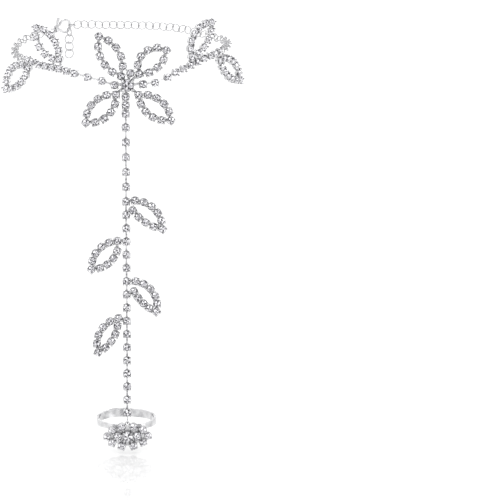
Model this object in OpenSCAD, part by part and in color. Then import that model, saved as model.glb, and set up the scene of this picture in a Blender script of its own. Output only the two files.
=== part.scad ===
// Barefoot sandal jewellery: a rhinestone anklet with a four-petal flower, a stem of linked
// stone cups with four leaf loops, and an adjustable toe ring with a stone rosette.
// The origin is the centre of the ankle loop. The flower faces -Y and the stem hangs down -Z.

/* [Stones and cups] */
// Girdle radius of a chain stone
stone_r = 1.05; // [0.95:0.05:1.1]
// Girdle radius of the flower's centre stone
centre_stone_r = 1.75; // [1.5:0.05:1.8]
// Wall thickness of a stone cup
cup_wall = 0.12; // [0.1:0.01:0.14]
// Height of a cup's closed wall, under its prongs
cup_wall_h = 1.0; // [0.9:0.05:1.1]
// Width of the opening between two prongs
prong_gap = 1.5; // [1.3:0.05:1.6]

/* [Anklet] */
// Radius of the ankle loop, at the back of the cups
loop_r = 33.4; // [32:0.1:36]
// Angle between two soldered cups of the strands
strand_step = 4.45; // [4.4:0.05:4.6]
// Outer radius of the fine link chain
chain_r = 1.15; // [1:0.05:1.2]

/* [Stem] */
// Height of the first linked cup of the stem
stem_top = -18.9; // [-19.4:0.1:-18.5]
// Distance between the linked cups above the leaves
stem_pitch_upper = 4.57; // [4.4:0.01:4.7]
// Distance between the linked cups from the first leaf down
stem_pitch_lower = 4.12; // [4.05:0.01:4.2]

/* [Toe ring] */
// Inner radius of the toe ring
ring_r = 8.5; // [8:0.1:9]
// Thickness of the band
band_t = 0.7; // [0.6:0.05:0.8]
// Width of the band at the back
band_w = 2.6; // [2.2:0.1:3]
// Angle by which each edge of the band tapers towards the front
band_taper = 1.5; // [0:0.1:2]

/* [Clasp] */
// Outer radius of the clasp's hook
hook_r = 2.3; // [2.25:0.01:2.35]
// Thickness of the hook
hook_t = 0.7; // [0.6:0.05:0.7]
// Upward tilt of the clasp on the chain
clasp_tilt = 14; // [8:1:16]

/* [Hidden] */

silver = [0.82, 0.83, 0.85];
crystal = [0.86, 0.86, 0.92];

// A cup holds its stone with this clearance all round
fit_gap = 0.1;
floor_t = 0.25;
culet_z = 0.4;
pavilion_h = 0.8;
crown_h = 0.45;
table_share = 0.6;
// Prongs: how far they rise over the girdle, and how far in and how thick their lips are
prong_rise = 0.55;
prong_bevel = 0.1;
prong_lip_t = 0.15;
lip_share = 0.86;
// The bar under a stone and its cross head, which sits inside the next cup
bar_w = 0.6;
bar_t = 0.3;
bar_z = 0.4;
head_w = 1.0;
head_in = 0.62;
slot_w = 0.84;
slot_reach = 0.6;
slot_top = 0.85;
// Where the flower's side bars start, which leave their cups at an angle
flower_link_start = 1.0;
// The soldered strip under neighbouring cups
rail_w = 0.9;
rail_t = 0.3;
rail_z = -0.12;
rail_start = 0.85;
backbone_z = 0.1;
eps = 0.05;

cup_r = stone_r + fit_gap + cup_wall;

// Height of the ankle loop against the angle from the front, in degrees and millimetres
loop_rise = [
    [-58, -0.8], [-50, -1.5], [-36, -1.9], [-26, -2.9], [-12, -4.7], [-5, -5.6],
    [5, -5.9], [15, -5.6], [22, -4.2], [26, -3.0], [35, -1.4], [44, 0.1], [58, 1.1]
];

// Leaf and petal loops. Each row starts two chains of cups, a and b, which meet at the tip.
// Columns: a start x, y; b start x, y; tip x, y; bulge of a to the left and of b to the right of
// the way to the tip; steps to the tip on a, on b; how many of the starts carry a cup
AX = 0;
AY = 1;
BX = 2;
BY = 3;
TX = 4;
TY = 5;
BULGE_A = 6;
BULGE_B = 7;
STEPS_A = 8;
STEPS_B = 9;
SEATED = 10;
petals = [
    [-1.3, -3.2, -1.3, -3.2, -7.9, 9.0, 2.7, 3.0, 5, 5, 1],
    [4.1, -2.6, 4.1, -2.6, 12.3, 4.6, 3.9, 2.2, 5, 4, 1],
    [-2.9, -8.8, -2.9, -8.8, -12.0, -17.3, 3.0, 2.9, 5, 5, 1],
    [3.9, -9.0, 3.9, -9.0, 13.6, -16.9, 2.8, 2.7, 5, 5, 1]
];
stem_leaves = [
    [0, -41.7, 0.6, -42.0, 10.9, -50.4, 3.5, 1.6, 6, 5, 0],
    [-2.4, -54.5, -0.1, -54.2, -10.6, -62.6, 2.4, 3.5, 5, 6, 0],
    [0.2, -66.5, 1.3, -67.4, 9.0, -76.1, 3.5, 1.25, 6, 5, 0],
    [-2.8, -77.75, 0.2, -77.8, -8.8, -88.5, 1.95, 3.8, 5, 6, 0]
];
ankle_leaves = [
    [-1.3, 1.1, 1.3, 1.0, -7.2, 9.8, 2.3, 2.7, 4, 5, 2],
    [1.2, -3.4, 1.2, -3.4, -9.6, -11.4, 2.0, 3.6, 5, 6, 1],
    [1.0, 1.3, 1.0, 1.3, 8.7, 11.0, 3.4, 2.3, 6, 5, 1],
    [-0.7, -1.7, -0.7, -1.7, 12.0, -9.9, 3.0, 2.0, 6, 6, 1]
];
// Stem cups that each stem leaf is soldered to: the cup of side a, the cup of side b
leaf_roots = [[5, 6], [8, 8], [11, 12], [14, 14]];
// Leaves whose side a starts under the first cup of side b, and not at the stem
folded_leaves = [1, 3];
// Angle on the loop where each ankle leaf hangs, and the way that its plane faces
ankle_leaf_seats = [[-37.4, -37.4], [-60.4, -51.4], [34.6, 34.6], [59.6, 56.6]];
// Angles of the soldered strand cups that belong to each ankle leaf
strand_seats = [
    [for (i = [0:5]) -26.4 - i * strand_step],
    [for (i = [0:1]) -53.85 - i * strand_step],
    [for (i = [0:4]) 26.6 + i * strand_step],
    [for (i = [0:2]) 49.6 + i * strand_step]
];
// Strand cups that each ankle leaf is soldered to: the cup under side a, the cup under side b
strand_roots = [[3, 2], [1, 1], [2, 2], [2, 2]];
// The eyelet that joins the last strand cup to the link chain
eyelet_r = 0.65;
eyelet_wire_r = 0.2;
eyelet_out = 1.85;
eyelet_z = 0.45;
linked_left = [-12, -19.4];
linked_right = [15.2, 22.0];

// Flower cups that are not on a petal: x, y, heading
flower_left = [-3.3, -5.9, 180];
flower_right = [5.3, -5.7, 0];
flower_top = [1.5, -2.3, 90];
flower_centre = [0.6, -5.9, 0];
flower_drop = [[0, -9.5, -90], [0, -12.1, -90], [0, -14.7, -90]];

stem_count = 22;
stem_stone_turn = 22.5;
function stem_z(i) = stem_top - min(i, 5) * stem_pitch_upper - max(i - 5, 0) * stem_pitch_lower;
soldered_stem = [5, 6, 8, 11, 12, 14];
linked_stem = [for (i = [0:stem_count - 1]) if (len(search(i, soldered_stem)) == 0) i];

// Rosette: x, y and girdle radius of each stone on one side, mirrored to the other
rosette_z = -115.1;
rosette_pairs = [
    [2.9, 0, 1.1], [6.3, 0, 0.9], [4.7, 1.9, 0.95], [4.7, -1.9, 0.95], [1.75, 2.95, 1.0], [1.75, -2.95, 1.0]
];
rosette_centre_r = 1.45;
rosette_turn = 20;
// The plate is a lens under the middle cups, a disc under each cup and a tab with a hole
plate_half_w = 5.6;
plate_half_h = 3.1;
plate_t = 0.45;
plate_rim = 0.05;
link_hole_r = 0.42;
link_hole_y = 3.88;
tab_r = 0.72;
tab_foot_y = 2;
tab_foot_half_w = 1.1;
// The small loop that hangs the toe ring on the stem: its centre is in front of the plate's middle
end_loop_r = 0.6;
end_wire_r = 0.17;
end_loop_z = 0.325;
end_bar_t = 0.3;

ring_z = -112.5;
// The band's front is let into the rosette's plate, to solder them
ring_sink = 0.25;
ring_centre_y = -(loop_r - ring_r - band_t) - ring_sink;
// Angles of the band's overlapping ends, counted from +X towards the back
ramp_from = 72;
ramp_to = 86;
tail_to = 120;
tail_gap = 0.12;
ramp_lap = 2;
ramp_inset = 0.05;
inner_end_gap = 5;
// The blocks that taper the band's edges: where they turn, their side and their height
taper_from_y = 10.5;
taper_block = 30;
taper_block_h = 3;

// Clasp, drawn in its own plane: x along it, y across it, from the eye's centre
clasp_at = [-20.4, 26.4, -0.2];
clasp_heading = 34;
eye_r = 0.9;
eye_hole_r = 0.5;
hook_centre = [4.6, 0];
hook_wall = 0.6;
pivot = [1.3, 0.75];
hub_r = 0.45;
pin_r = 0.22;
pin_gap = 0.07;
// Distance from the pivot to the lever's tip, and from there to the hook
gate_reach = 3.95;
gate_gap = 0.1;
// The hook's lip laps the lever's tip from outside and stops it
lip_t = 0.25;
lip_from = 66;
lip_to = 82;
arm_to = 148;
arm_w = 0.6;
lever_t = 0.6;
cheek_gap = 0.08;
cheek_t = 0.3;
tab_len = 2.75;
tab_w = 0.6;
tab_heading = 57;
tab_knob_r = 0.38;
// The hook's angles: where its back starts, where the lever's clearance starts, and its end
hook_from = 190;
hook_clear_from = 300;
hook_to = 432;
hook_lap = 10;
hook_sector = 8;
// The lever's tip runs on past the lip's start, and is cut back under the lip
lever_past_lip = 6;
relief_past_lip = 12;
relief_lap = 3;
relief_out = 1;
arm_lap = 0.2;
// The neck between the eye and the hook, and the block and cheeks that hold the pivot
neck_from = [0.4, -0.75];
neck_size = [2.4, 0.65];
block_from = [0.95, -0.65];
block_size = [1.3, 0.45];
cheek_foot = [[0.85, 0.75], [0.85, -0.7], [2.4, -0.7], [1.75, 0.75]];
// The link that the hook holds
link_wire_r = 0.18;
link_r = 1.15;
hooked_angle = -14;
hooked_reach = 2.55;

// Routes of the fine link chain, points along its centre line
chain_left_route = [
    [-29.9, -14.8, -0.65], [-30.6, -12.8, -1.1], [-31.6, -10.2, -1.7], [-32.4, -5.2, -1.9],
    [-32.8, 0, -1.7], [-32.5, 5.2, -1.4], [-31.4, 10.4, -1.0], [-29.3, 15.4, -0.6],
    [-26.0, 20.6, -0.4], [-21.2, 25.6, -0.3]
];
chain_back_route = [
    [-13.2, 31.0, 0.9], [-9.0, 32.1, 0.75], [-4.5, 32.9, 0.4], [0, 33.2, 0.3], [5.0, 32.8, 0.2],
    [10.0, 31.7, 0.2], [15.0, 29.5, 0.2], [19.4, 26.8, 0.1], [23.3, 23.3, -0.2], [26.6, 19.3, -0.5],
    [29.3, 15.0, -0.6],
    [31.4, 9.6, -0.4], [32.5, 4.0, 0.1], [32.6, -2.0, 0.6], [32.0, -7.6, 0.9], [31.2, -12.0, 1.0],
    [30.4, -15.1, 1.1]
];
chain_tail_route = [[-15.3, 30.1, -1.75], [-15.3, 30.1, -4.2], [-15.4, 30.1, -6.7], [-15.4, 30.1, -9.1]];
tube_sides = 8;
tail_r = 0.95;

// A point on the arc from p to q with the given bulge to the left, at share t: x, y, heading
function arc_point(p, q, bulge, t) =
    let (
        c = norm(q - p),
        side = sign(bulge),
        h = abs(bulge),
        r = (c * c / 4 + h * h) / (2 * h),
        half = asin(c / (2 * r)),
        b = half * (2 * t - 1),
        dir = (q - p) / c,
        out = side * [-dir.y, dir.x],
        at = p + dir * (c / 2 + r * sin(b)) + out * (r * cos(b) - r + h)
    )
    [at.x, at.y, atan2(dir.y, dir.x) - side * b];

function side_a(row) =
    [for (i = [0:row[STEPS_A]])
        arc_point([row[AX], row[AY]], [row[TX], row[TY]], row[BULGE_A], i / row[STEPS_A])];
function side_b(row) =
    [for (i = [0:row[STEPS_B]])
        arc_point([row[BX], row[BY]], [row[TX], row[TY]], -row[BULGE_B], i / row[STEPS_B])];
function last(list) = list[len(list) - 1];

// Seats of a leaf loop's cups, with one at the tip and one on each start that carries a cup
function leaf_seats(row) =
    let (
        a = side_a(row),
        b = side_b(row),
        from_a = row[SEATED] > 0 ? 0 : 1,
        from_b = row[SEATED] > 1 ? 0 : 1
    )
    concat(
        [for (i = [from_a:len(a) - 2]) a[i]],
        [for (i = [from_b:len(b) - 2]) b[i]],
        [[row[TX], row[TY], atan2(row[TY] - row[AY], row[TX] - row[AX])]]
    );

// A round brilliant: an eight-sided table, crown and pavilion
module stone(r) {
    k = r / stone_r;
    crown = [for (i = [0:7]) [r * table_share * cos(i * 45), r * table_share * sin(i * 45), crown_h * k]];
    girdle = [for (i = [0:7]) [r * cos(i * 45), r * sin(i * 45), 0]];
    translate([0, 0, culet_z + pavilion_h * k])
        polyhedron(
            concat(crown, girdle, [[0, 0, -pavilion_h * k]]),
            concat(
                [[for (i = [7:-1:0]) i]],
                [for (i = [0:7]) [i, (i + 1) % 8, 8 + (i + 1) % 8, 8 + i]],
                [for (i = [0:7]) [16, 8 + i, 8 + (i + 1) % 8]]
            )
        );
}

// A cup with four prongs. Its slots, at the headings given, let a bar's cross head in
module cup(r = stone_r, slots = []) {
    k = r / stone_r;
    bore = r + fit_gap;
    outer = bore + cup_wall;
    girdle_z = culet_z + pavilion_h * k;
    top = girdle_z + prong_rise * k;
    lip = r * lip_share + fit_gap;
    wall_h = cup_wall_h * k;
    difference() {
        rotate_extrude($fn = 32)
            polygon([
                [0, 0], [outer, 0], [outer, top - prong_lip_t], [outer - prong_bevel, top], [lip, top],
                [lip, top - prong_lip_t], [bore, girdle_z + prong_lip_t], [bore, floor_t], [0, floor_t]
            ]);
        for (turn = [0, 90])
            rotate([0, 0, turn])
                translate([-2 * r, -prong_gap * k / 2, wall_h])
                    cube([4 * r, prong_gap * k, top]);
        for (turn = slots)
            rotate([0, 0, turn])
                translate([bore - slot_reach / 2, -slot_w / 2, floor_t + eps])
                    cube([slot_reach, slot_w, slot_top - floor_t - eps]);
    }
}

// The cross head of a bar that comes in from heading 180
module bar_head() {
    translate([-head_in - bar_t, -head_w / 2, bar_z])
        cube([bar_t, head_w, bar_t]);
}

// A flat bar from one place to another in the seats' plane
module strip(p, q, start, end, width, height, z) {
    d = [q.x - p.x, q.y - p.y];
    translate([p.x, p.y, z])
        rotate([0, 0, atan2(d.y, d.x)])
            translate([start, -width / 2, 0])
                cube([norm(d) - start - end, width, height]);
}

module rail(p, q) {
    strip(p, q, rail_start, rail_start, rail_w, rail_t, rail_z);
}

// A bar from a cup's wall into the next cup, where its cross head sits
module link_bar(p, q) {
    strip(p, q, cup_r - eps, head_in + bar_t / 2, bar_w, bar_t, bar_z);
    translate([q.x, q.y, 0])
        rotate([0, 0, atan2(q.y - p.y, q.x - p.x)])
            bar_head();
}

module at_seats(seats) {
    for (s = seats)
        translate([s.x, s.y, 0])
            rotate([0, 0, s[2]])
                children();
}

module leaf_rails(row, root_a, root_b) {
    a = side_a(row);
    b = side_b(row);
    rail(root_a, a[1]);
    rail(root_b, b[1]);
    for (i = [1:len(a) - 2])
        rail(a[i], a[i + 1]);
    for (i = [1:len(b) - 2])
        rail(b[i], b[i + 1]);
}

// The plane that the flower and the stem hang in, facing the front
module front_plane() {
    translate([0, -loop_r, 0])
        rotate([90, 0, 0])
            children();
}

// A place on the ankle loop: x along it, y up, z outwards
module on_loop(angle, z, heading) {
    translate([loop_r * sin(angle), -loop_r * cos(angle), z])
        rotate([90, 0, heading])
            children();
}

module strand_place(angle) {
    on_loop(angle, lookup(angle, loop_rise), angle)
        children();
}

// Heading, in a strand cup's own plane, of the bar that comes into it from another cup
function bar_heading(from, to) =
    atan2(
        lookup(from, loop_rise) - lookup(to, loop_rise),
        -sign(to - from) * 2 * loop_r * sin(abs(to - from) / 2)
    );

// The same for the bar that comes from a seat of the flat flower
function flower_bar_heading(seat, to) =
    let (d = [seat.x - loop_r * sin(to), loop_r * (cos(to) - 1)])
    atan2(seat.y - lookup(to, loop_rise), d.x * cos(to) + d.y * sin(to));

// Bar between two cups of the loop, with its cross head in the second
module strand_bar(from, to) {
    way = sign(to - from);
    mid = (from + to) / 2;
    rise = lookup(to, loop_rise) - lookup(from, loop_rise);
    run = 2 * loop_r * sin(abs(to - from) / 2) * way;
    lift = loop_r * (1 - cos((to - from) / 2));
    on_loop(mid, (lookup(to, loop_rise) + lookup(from, loop_rise)) / 2, mid)
        translate([0, 0, -lift])
            link_strip([-run / 2, -rise / 2], [run / 2, rise / 2]);
    strand_place(to)
        rotate([0, 0, bar_heading(from, to) + 180])
            bar_head();
}

module link_strip(p, q) {
    strip(p, q, cup_r - eps, head_in + bar_t / 2, bar_w, bar_t, bar_z);
}

module strand_rail(from, to) {
    mid = (from + to) / 2;
    rise = lookup(to, loop_rise) - lookup(from, loop_rise);
    run = 2 * loop_r * sin((to - from) / 2);
    lift = loop_r * (1 - cos((to - from) / 2));
    on_loop(mid, (lookup(to, loop_rise) + lookup(from, loop_rise)) / 2, mid)
        translate([0, 0, -lift])
            rail([-run / 2, -rise / 2], [run / 2, rise / 2]);
}

module ring(r, wire_r) {
    rotate_extrude($fn = 48)
        translate([r, 0])
            circle(r = wire_r, $fn = 24);
}

function flower_seats() =
    concat(
        [for (row = petals) each leaf_seats(row)],
        [flower_left, flower_right, flower_top],
        flower_drop
    );

module flower_frame() {
    color(silver) {
        front_plane() {
            at_seats(flower_seats())
                cup();
            at_seats([flower_centre])
                cup(centre_stone_r);
            for (row = petals) {
                start = [row[AX], row[AY]];
                leaf_rails(row, start, start);
                rail(start, flower_centre);
            }
            for (s = [flower_left, flower_right, flower_top, flower_drop[0]])
                rail(s, flower_centre);
            for (i = [0:1])
                rail(flower_drop[i], flower_drop[i + 1]);
            link_bar(last(flower_drop), [0, stem_z(0)]);
        }
        flower_link(flower_left, linked_left[0]);
        flower_link(flower_right, linked_right[0]);
    }
}

// Bar from a cup of the flat flower to the first linked cup of a strand
module flower_link(seat, to) {
    z = lookup(to, loop_rise);
    way = sign(to);
    d = [loop_r * sin(to) - seat.x, loop_r * (1 - cos(to))];
    heading = atan2(d.y, d.x * way);
    translate([seat.x, -loop_r, seat.y])
        rotate([90, 0, way * heading])
            strip(
                [0, 0], [way * norm(d), z - seat.y],
                flower_link_start, head_in + bar_t / 2, bar_w, bar_t, bar_z
            );
    strand_place(to)
        rotate([0, 0, flower_bar_heading(seat, to) + 180])
            bar_head();
}

module flower_stones() {
    color(crystal)
        front_plane()
            at_seats(flower_seats())
                stone(stone_r);
}

module flower_centre_stone() {
    color(crystal)
        front_plane()
            at_seats([flower_centre])
                stone(centre_stone_r);
}

module stem_cup(i) {
    translate([0, stem_z(i), 0])
        rotate([0, 0, -90])
            cup(slots = [180]);
}

module stem_link(i) {
    link_bar([0, stem_z(i)], [0, stem_z(i + 1)]);
}

// The last stem bar ends in a small loop, which passes through the hole in the rosette's plate
module stem_end() {
    hole_y = rosette_z + link_hole_y;
    last_y = stem_z(stem_count - 1);
    translate([0, hole_y + end_loop_r, end_loop_z])
        rotate([0, 90, 0])
            ring(end_loop_r, end_wire_r);
    strip(
        [0, last_y], [0, hole_y + 2 * end_loop_r],
        cup_r - eps, -eps, end_bar_t, end_bar_t, end_loop_z - end_bar_t / 2
    );
}

module stem_cups() {
    color(silver)
        front_plane() {
            for (i = linked_stem)
                stem_cup(i);
            for (i = linked_stem)
                if (i < stem_count - 1)
                    stem_link(i);
            stem_end();
        }
}

module stem_stones() {
    color(crystal)
        front_plane()
            for (i = [0:stem_count - 1])
                translate([0, stem_z(i), 0])
                    rotate([0, 0, stem_stone_turn])
                        stone(stone_r);
}

module stem_leaf(n) {
    row = stem_leaves[n];
    roots = leaf_roots[n];
    first = min(roots);
    final = max(roots);
    folded = len(search(n, folded_leaves)) > 0;
    first_b = side_b(row)[1];
    root_a = folded ? [first_b.x, first_b.y] : [0, stem_z(roots[0])];
    color(silver)
        front_plane() {
            at_seats(leaf_seats(row))
                cup();
            leaf_rails(row, root_a, [0, stem_z(roots[1])]);
            for (i = [first:final])
                stem_cup(i);
            if (final > first)
                strip(
                    [0, stem_z(first)], [0, stem_z(final)],
                    rail_start, rail_start, bar_w, bar_t, backbone_z
                );
            stem_link(final);
        }
}

module stem_leaf_stones(n) {
    color(crystal)
        front_plane()
            at_seats(leaf_seats(stem_leaves[n]))
                stone(stone_r);
}

module ankle_leaf_place(n) {
    seat = ankle_leaf_seats[n];
    on_loop(seat[0], 0, seat[1])
        children();
}

// A strand cup's place in the plane of the ankle leaf soldered to it
function strand_root(n, side) =
    let (angle = strand_seats[n][strand_roots[n][side]])
    [(angle - ankle_leaf_seats[n][0]) * PI * loop_r / 180, lookup(angle, loop_rise)];

module ankle_leaf(n) {
    row = ankle_leaves[n];
    angles = strand_seats[n];
    way = sign(angles[0]);
    before = n % 2 == 1 ? last(strand_seats[n - 1]) : way > 0 ? linked_right[1] : linked_left[1];
    starts = [[row[AX], row[AY]], [row[BX], row[BY]]];
    color(silver) {
        ankle_leaf_place(n) {
            at_seats(leaf_seats(row))
                cup();
            leaf_rails(row, starts[0], starts[1]);
            for (side = [0:row[SEATED] - 1])
                rail(strand_root(n, side), starts[side]);
        }
        for (i = [0:len(angles) - 1])
            strand_place(angles[i])
                cup(slots = i == 0 ? [bar_heading(before, angles[0])] : []);
        for (i = [0:len(angles) - 2])
            strand_rail(angles[i], angles[i + 1]);
        if (n % 2 == 0)
            strand_bar(last(angles), strand_seats[n + 1][0]);
        else
            strand_place(last(angles))
                translate([way * eyelet_out, 0, eyelet_z])
                    ring(eyelet_r, eyelet_wire_r);
    }
}

module ankle_leaf_stones(n) {
    color(crystal) {
        ankle_leaf_place(n)
            at_seats(leaf_seats(ankle_leaves[n]))
                stone(stone_r);
        for (angle = strand_seats[n])
            strand_place(angle)
                stone(stone_r);
    }
}

module strand_cups(seat, angles, next) {
    headings = [flower_bar_heading(seat, angles[0]), bar_heading(angles[0], angles[1])];
    color(silver) {
        for (i = [0:1])
            strand_place(angles[i])
                cup(slots = [headings[i]]);
        strand_bar(angles[0], angles[1]);
        strand_bar(angles[1], next);
    }
}

module strand_stones(angles) {
    color(crystal)
        for (angle = angles)
            strand_place(angle)
                stone(stone_r);
}

// A tube swept along a route, with each ring across the way to its neighbours
module tube(route, r) {
    n = len(route);
    way = [for (i = [0:n - 1])
        let (d = route[min(i + 1, n - 1)] - route[max(i - 1, 0)]) d / norm(d)];
    up = abs(way[0].z) > 0.7 ? [0, 1, 0] : [0, 0, 1];
    points = [for (i = [0:n - 1])
        let (
            across = cross(up, way[i]) / norm(cross(up, way[i])),
            over = cross(way[i], across)
        )
        for (k = [0:tube_sides - 1])
            let (turn = 360 * k / tube_sides)
            route[i] + r * (cos(turn) * across + sin(turn) * over)];
    sides = [for (i = [0:n - 2]) for (k = [0:tube_sides - 1])
        let (next = (k + 1) % tube_sides)
        [i * tube_sides + k, (i + 1) * tube_sides + k, (i + 1) * tube_sides + next, i * tube_sides + next]];
    polyhedron(
        points,
        concat(
            [[for (k = [0:tube_sides - 1]) k]],
            sides,
            [[for (k = [tube_sides - 1:-1:0]) (n - 1) * tube_sides + k]]
        )
    );
}

module chain_left() {
    color(silver)
        tube(chain_left_route, chain_r);
}

module chain_back() {
    color(silver)
        tube(chain_back_route, chain_r);
}

module chain_tail() {
    color(silver)
        tube(chain_tail_route, tail_r);
}

module clasp_place() {
    translate(clasp_at)
        rotate([90, 0, clasp_heading])
            rotate([0, 0, clasp_tilt])
                children();
}

module clasp_plate(t, z = 0) {
    translate([0, 0, z - t / 2])
        linear_extrude(t)
            children();
}

// Part of a flat ring about the hook's centre
module hook_arc_2d(from, to, inner = hook_r - hook_wall, outer = hook_r) {
    translate(hook_centre)
        intersection() {
            difference() {
                circle(r = outer, $fn = 96);
                circle(r = inner, $fn = 96);
            }
            polygon(concat(
                [[0, 0]],
                [for (share = [0:0.25:1])
                    let (a = from + share * (to - from))
                    hook_sector * [cos(a), sin(a)]]
            ));
        }
}

module pivot_disc_2d(r) {
    translate(pivot)
        circle(r = r, $fn = 64);
}

module clasp_body_2d() {
    difference() {
        union() {
            circle(r = eye_r, $fn = 64);
            translate(neck_from)
                square(neck_size);
            hook_arc_2d(hook_from, hook_clear_from + hook_lap);
            difference() {
                hook_arc_2d(hook_clear_from, hook_to);
                pivot_disc_2d(gate_reach + gate_gap);
            }
            hook_arc_2d(lip_from, lip_to, hook_r - lip_t, hook_r);
        }
        circle(r = eye_hole_r, $fn = 48);
    }
}

module cheek_2d() {
    pivot_disc_2d(hub_r);
    polygon(cheek_foot);
}

module clasp_body() {
    cheek_z = lever_t / 2 + cheek_gap + cheek_t / 2;
    color(silver)
        clasp_place() {
            clasp_plate(hook_t)
                clasp_body_2d();
            translate([block_from.x, block_from.y, -cheek_z])
                cube([block_size.x, block_size.y, 2 * cheek_z]);
            for (side = [-1, 1])
                clasp_plate(cheek_t, side * cheek_z)
                    cheek_2d();
            translate([pivot.x, pivot.y, -cheek_z])
                cylinder(r = pin_r, h = 2 * cheek_z, $fn = 32);
        }
}

module clasp_lever_2d() {
    arm_end = hook_centre + (hook_r - hook_wall / 2) * [cos(arm_to), sin(arm_to)];
    arm = arm_end - pivot;
    difference() {
        union() {
            difference() {
                intersection() {
                    hook_arc_2d(lip_from - lever_past_lip, arm_to);
                    pivot_disc_2d(gate_reach);
                }
                hook_arc_2d(
                    lip_from - relief_past_lip, lip_to + relief_lap,
                    hook_r - lip_t - gate_gap, hook_r + relief_out
                );
            }
            translate(pivot)
                rotate(atan2(arm.y, arm.x))
                    translate([0, -arm_w / 2])
                        square([norm(arm) + arm_lap, arm_w]);
            pivot_disc_2d(hub_r);
            translate(pivot)
                rotate(tab_heading)
                    translate([0, -tab_w / 2])
                        square([tab_len, tab_w]);
            translate(pivot + tab_len * [cos(tab_heading), sin(tab_heading)])
                circle(r = tab_knob_r, $fn = 32);
        }
        pivot_disc_2d(pin_r + pin_gap);
    }
}

module clasp_lever() {
    color(silver)
        clasp_place()
            clasp_plate(lever_t)
                clasp_lever_2d();
}

module hooked_link() {
    at = hook_centre + hooked_reach * [cos(hooked_angle), sin(hooked_angle)];
    color(silver)
        clasp_place()
            translate([at.x, at.y, 0])
                rotate([0, 0, hooked_angle])
                    rotate([90, 0, 0])
                        ring(link_r, link_wire_r);
}

module band_arc(from, to, inner) {
    rotate([0, 0, from])
        rotate_extrude(angle = to - from, $fn = 96)
            translate([inner, -band_w])
                square([band_t, 2 * band_w]);
}

// The ramp that lifts the band's outer end over its inner one: a little thinner than the band
module band_ramp(outer) {
    steps = [
        [ramp_from - ramp_lap, ring_r],
        [ramp_from, ring_r],
        [(ramp_from + ramp_to) / 2, (ring_r + outer) / 2],
        [ramp_to, outer],
        [ramp_to + ramp_lap, outer]
    ];
    translate([0, 0, -band_w])
        linear_extrude(2 * band_w)
            polygon(concat(
                [for (p = steps) (p[1] + ramp_inset) * [cos(p[0]), sin(p[0])]],
                [for (i = [len(steps) - 1:-1:0])
                    (steps[i][1] + band_t - ramp_inset) * [cos(steps[i][0]), sin(steps[i][0])]]
            ));
}

module band() {
    outer = ring_r + band_t + tail_gap;
    difference() {
        union() {
            band_arc(ramp_to + inner_end_gap, 360 + ramp_from, ring_r);
            band_arc(ramp_to, tail_to, outer);
            band_ramp(outer);
        }
        for (side = [0, 180])
            rotate([0, side, 0])
                translate([-taper_block / 2, taper_from_y, band_w / 2])
                    rotate([band_taper, 0, 0])
                        mirror([0, 1, 0])
                            cube([taper_block, taper_block, taper_block_h]);
    }
}

module rosette_seats() {
    for (p = rosette_pairs)
        for (side = [-1, 1])
            translate([side * p[0], p[1], 0])
                rotate([0, 0, side * rosette_turn])
                    cup_or_stone(p[2])
                        children();
}

module cup_or_stone(r) {
    $seat_r = r;
    children();
}

module rosette_plate_2d() {
    lens_r = (plate_half_w * plate_half_w + plate_half_h * plate_half_h) / (2 * plate_half_h);
    intersection() {
        translate([0, plate_half_h - lens_r])
            circle(r = lens_r, $fn = 128);
        translate([0, lens_r - plate_half_h])
            circle(r = lens_r, $fn = 128);
    }
    rosette_seats()
        circle(r = $seat_r + fit_gap + cup_wall + plate_rim, $fn = 32);
    translate([0, link_hole_y])
        circle(r = tab_r, $fn = 32);
    polygon([
        [-tab_r, link_hole_y], [tab_r, link_hole_y],
        [tab_foot_half_w, tab_foot_y], [-tab_foot_half_w, tab_foot_y]
    ]);
}

module rosette_place() {
    front_plane()
        translate([0, rosette_z, plate_t - eps])
            children();
}

module toe_ring() {
    color(silver) {
        translate([0, ring_centre_y, ring_z])
            band();
        front_plane()
            translate([0, rosette_z, 0])
                difference() {
                    linear_extrude(plate_t)
                        rosette_plate_2d();
                    translate([0, link_hole_y, -plate_t])
                        cylinder(r = link_hole_r, h = 3 * plate_t, $fn = 32);
                }
        rosette_place() {
            rosette_seats()
                cup($seat_r);
            cup(rosette_centre_r);
        }
    }
}

module rosette_stones() {
    color(crystal)
        rosette_place() {
            rosette_seats()
                stone($seat_r);
            stone(rosette_centre_r);
        }
}

flower_frame();
flower_stones();
flower_centre_stone();
stem_cups();
stem_stones();
stem_leaf(0);  // stem_leaf_1
stem_leaf(1);  // stem_leaf_2
stem_leaf(2);  // stem_leaf_3
stem_leaf(3);  // stem_leaf_4
stem_leaf_stones(0);  // stem_leaf_stones_1
stem_leaf_stones(1);  // stem_leaf_stones_2
stem_leaf_stones(2);  // stem_leaf_stones_3
stem_leaf_stones(3);  // stem_leaf_stones_4
ankle_leaf(0);  // ankle_leaf_1
ankle_leaf(1);  // ankle_leaf_2
ankle_leaf(2);  // ankle_leaf_3
ankle_leaf(3);  // ankle_leaf_4
ankle_leaf_stones(0);  // ankle_leaf_stones_1
ankle_leaf_stones(1);  // ankle_leaf_stones_2
ankle_leaf_stones(2);  // ankle_leaf_stones_3
ankle_leaf_stones(3);  // ankle_leaf_stones_4
strand_cups(flower_left, linked_left, strand_seats[0][0]);  // strand_cups_left
strand_stones(linked_left);  // strand_stones_left
strand_cups(flower_right, linked_right, strand_seats[2][0]);  // strand_cups_right
strand_stones(linked_right);  // strand_stones_right
chain_left();
chain_back();
chain_tail();
clasp_body();
clasp_lever();
hooked_link();
toe_ring();
rosette_stones();
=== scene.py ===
"""Dresses the barefoot sandal: silver plate, cut stones, link chains, studio and camera.

The sandal's own lengths are given in millimetres. The meshes and the studio are in metres,
in the fixed model's frame: the stem hangs down over the instep, and -Y faces the viewer.
"""

from __future__ import annotations

import logging
import math
from dataclasses import dataclass, field
from enum import Enum

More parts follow.
